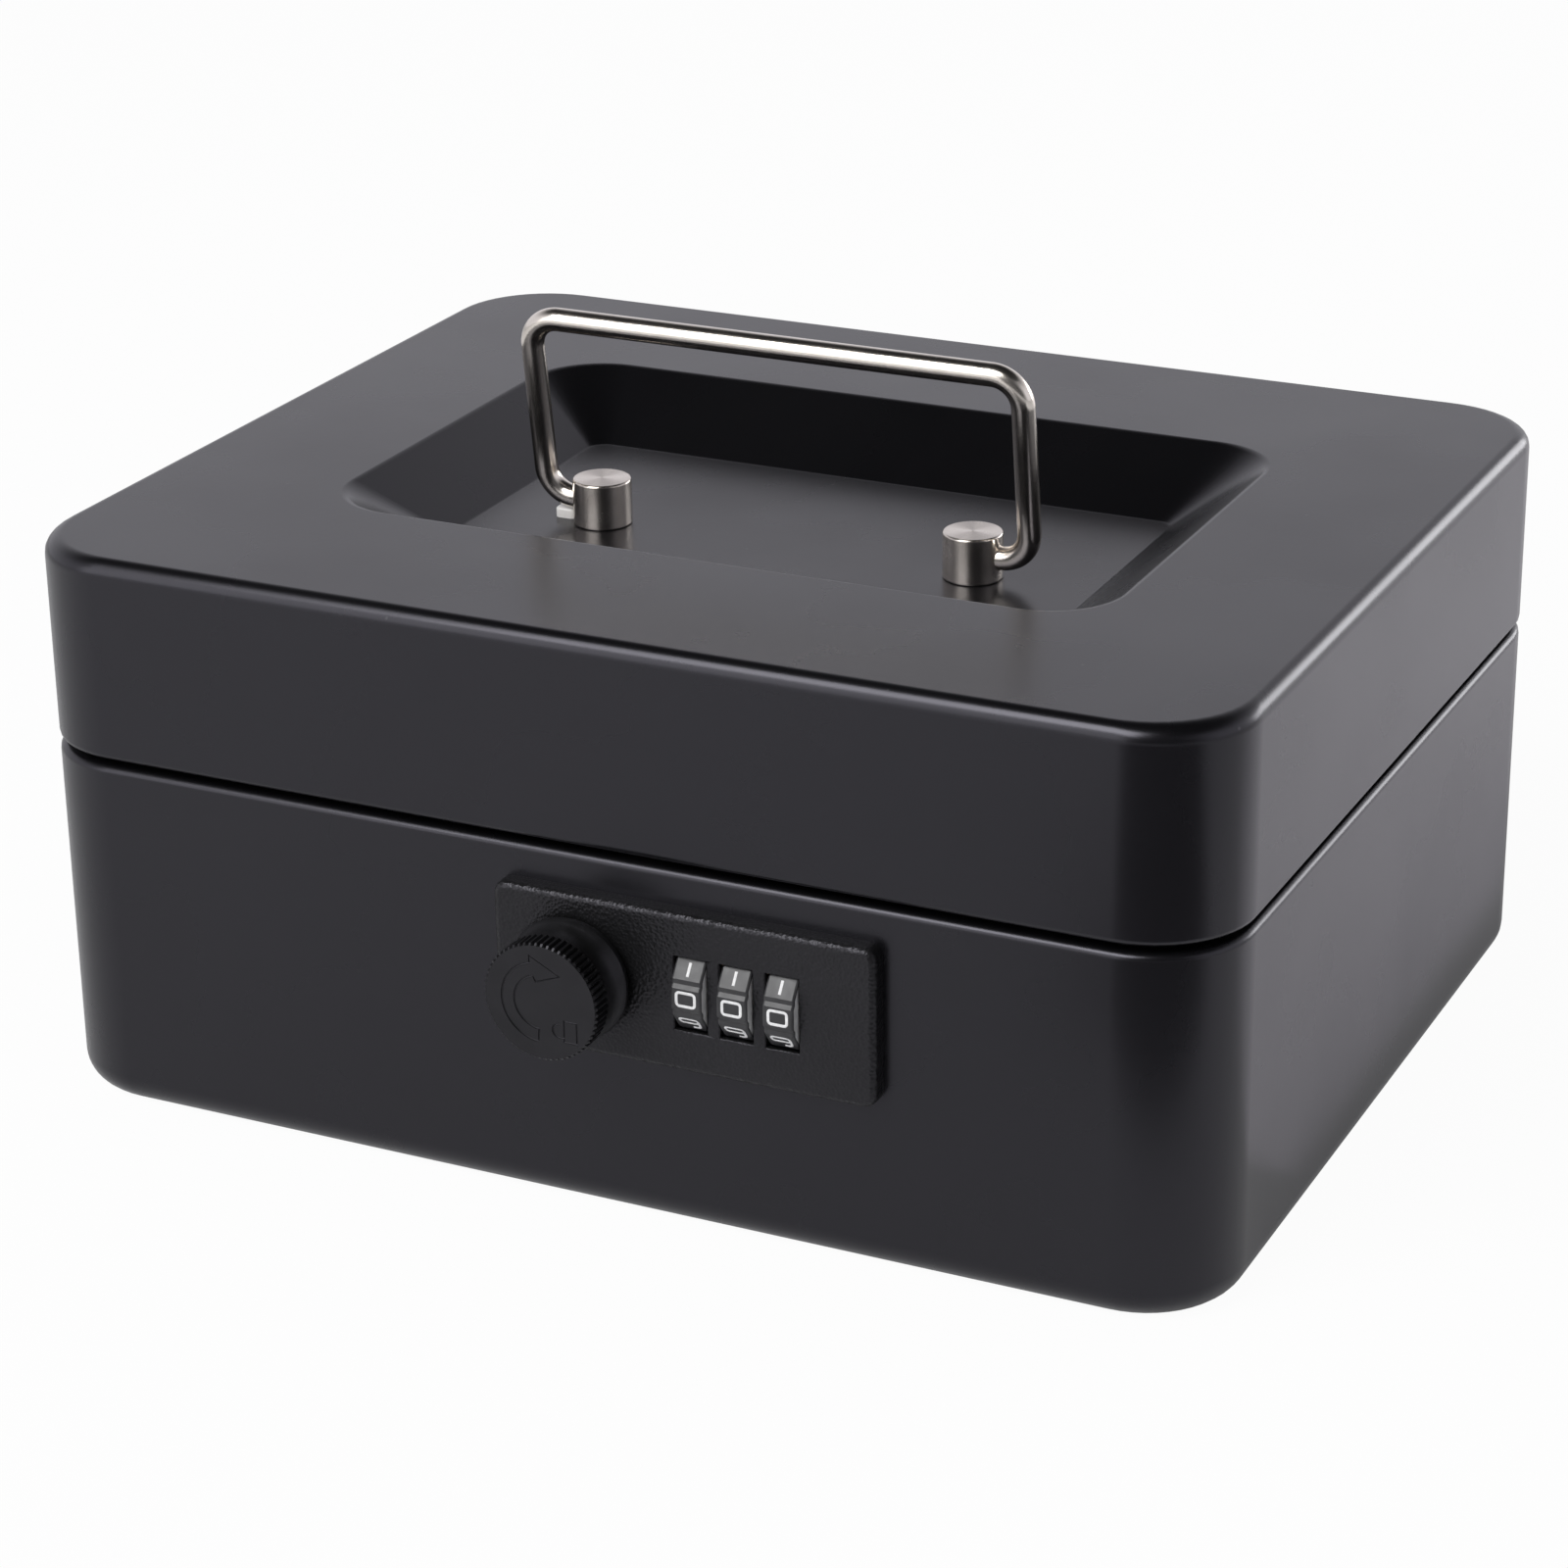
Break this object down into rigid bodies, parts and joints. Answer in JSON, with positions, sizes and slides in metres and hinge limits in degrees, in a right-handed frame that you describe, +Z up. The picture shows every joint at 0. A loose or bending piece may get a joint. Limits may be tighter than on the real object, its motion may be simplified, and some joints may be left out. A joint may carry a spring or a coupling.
{
  "type": "cash box",
  "caption": "Pressed-steel cash box with a hinged lid, a bail handle folding into a recess, a lift-out coin tray and a knob latch with a dial combination lock.",
  "frame": {"origin": "middle of the flat underside", "axes": "+X to the right seen from the front, +Y to the rear where the hinges are, +Z up"},
  "size_m": [0.2, 0.1756, 0.121],
  "materials": {
    "painted_steel": "satin black powder coat on drawn steel",
    "plated_wire": "polished nickel plate",
    "turned_nickel": "satin turned nickel plate",
    "lock_plastic": "black moulded plastic with a fine pebble grain",
    "dial_plastic": "black moulded plastic with printed digits",
    "inner_plastic": "black moulded plastic",
    "zinc_steel": "bright zinc plate",
    "brass": "turned brass",
    "spring_steel": "spring steel",
    "tray_plastic": "black moulded plastic"
  },
  "bodies": {
    "base": {"base_shell": "painted_steel", "base_hinge_leaf_left": "zinc_steel", "base_hinge_leaf_right": "zinc_steel", "hinge_pin_left": "zinc_steel", "hinge_pin_right": "zinc_steel", "lock_bezel": "lock_plastic", "lock_housing": "inner_plastic", "lock_rear_cover": "inner_plastic", "lock_screws": "zinc_steel", "dial_shaft": "zinc_steel", "code_sleeve_1": "brass", "code_sleeve_2": "brass", "code_sleeve_3": "brass", "detent_spring": "spring_steel", "fence_spring": "spring_steel"},
    "lid": {"lid_shell": "painted_steel", "lid_hinge_leaf_left": "zinc_steel", "lid_hinge_leaf_right": "zinc_steel", "lid_strike": "zinc_steel", "handle_post_left": "turned_nickel", "handle_post_right": "turned_nickel", "handle_washers": "zinc_steel", "handle_nuts": "zinc_steel"},
    "handle": {"handle_bail": "plated_wire"},
    "knob": {"knob": "lock_plastic", "knob_spindle": "zinc_steel", "latch_cam": "zinc_steel", "latch_washer": "zinc_steel", "latch_screw": "zinc_steel"},
    "fence": {"fence_slide": "zinc_steel"},
    "dial_1": {"dial_wheel_1": "dial_plastic"},
    "dial_2": {"dial_wheel_2": "dial_plastic"},
    "dial_3": {"dial_wheel_3": "dial_plastic"},
    "code_lever": {"code_lever": "inner_plastic"},
    "tray": {"coin_tray": "tray_plastic"}
  },
  "joints": [
    {"name": "lid_hinge", "type": "hinge", "parent": "base", "child": "lid", "pos_m": [0, 0.0792, 0.0599], "axis": [-1, 0, 0], "range_deg": [0, 95]},
    {"name": "handle_fold", "type": "hinge", "parent": "lid", "child": "handle", "pos_m": [0, -0.0091, 0.088], "axis": [1, 0, 0], "range_deg": [-100, 68]},
    {"name": "knob_turn", "type": "hinge", "parent": "base", "child": "knob", "pos_m": [0, -0.08, 0.0412], "axis": [0, -1, 0], "range_deg": [0, 90]},
    {"name": "fence_shift", "type": "slide", "parent": "base", "child": "fence", "axis": [1, 0, 0], "range_m": [0, 0.00121], "deforming": ["fence_spring"]},
    {"name": "dial_1_turn", "type": "hinge", "parent": "base", "child": "dial_1", "pos_m": [0.0192, -0.0772, 0.0412], "axis": [1, 0, 0], "continuous": true},
    {"name": "dial_2_turn", "type": "hinge", "parent": "base", "child": "dial_2", "pos_m": [0.0267, -0.0772, 0.0412], "axis": [1, 0, 0], "continuous": true},
    {"name": "dial_3_turn", "type": "hinge", "parent": "base", "child": "dial_3", "pos_m": [0.0342, -0.0772, 0.0412], "axis": [1, 0, 0], "continuous": true},
    {"name": "code_lever_slide", "type": "slide", "parent": "base", "child": "code_lever", "axis": [1, 0, 0], "range_m": [0, 0.004]},
    {"name": "tray_lift", "type": "slide", "parent": "base", "child": "tray", "axis": [0, 0, 1], "range_m": [0, 0.016]}
  ],
  "couplings": [
    {"joint": "fence_shift", "follows": "knob_turn", "m_per_rad": 0.00076394}
  ]
}
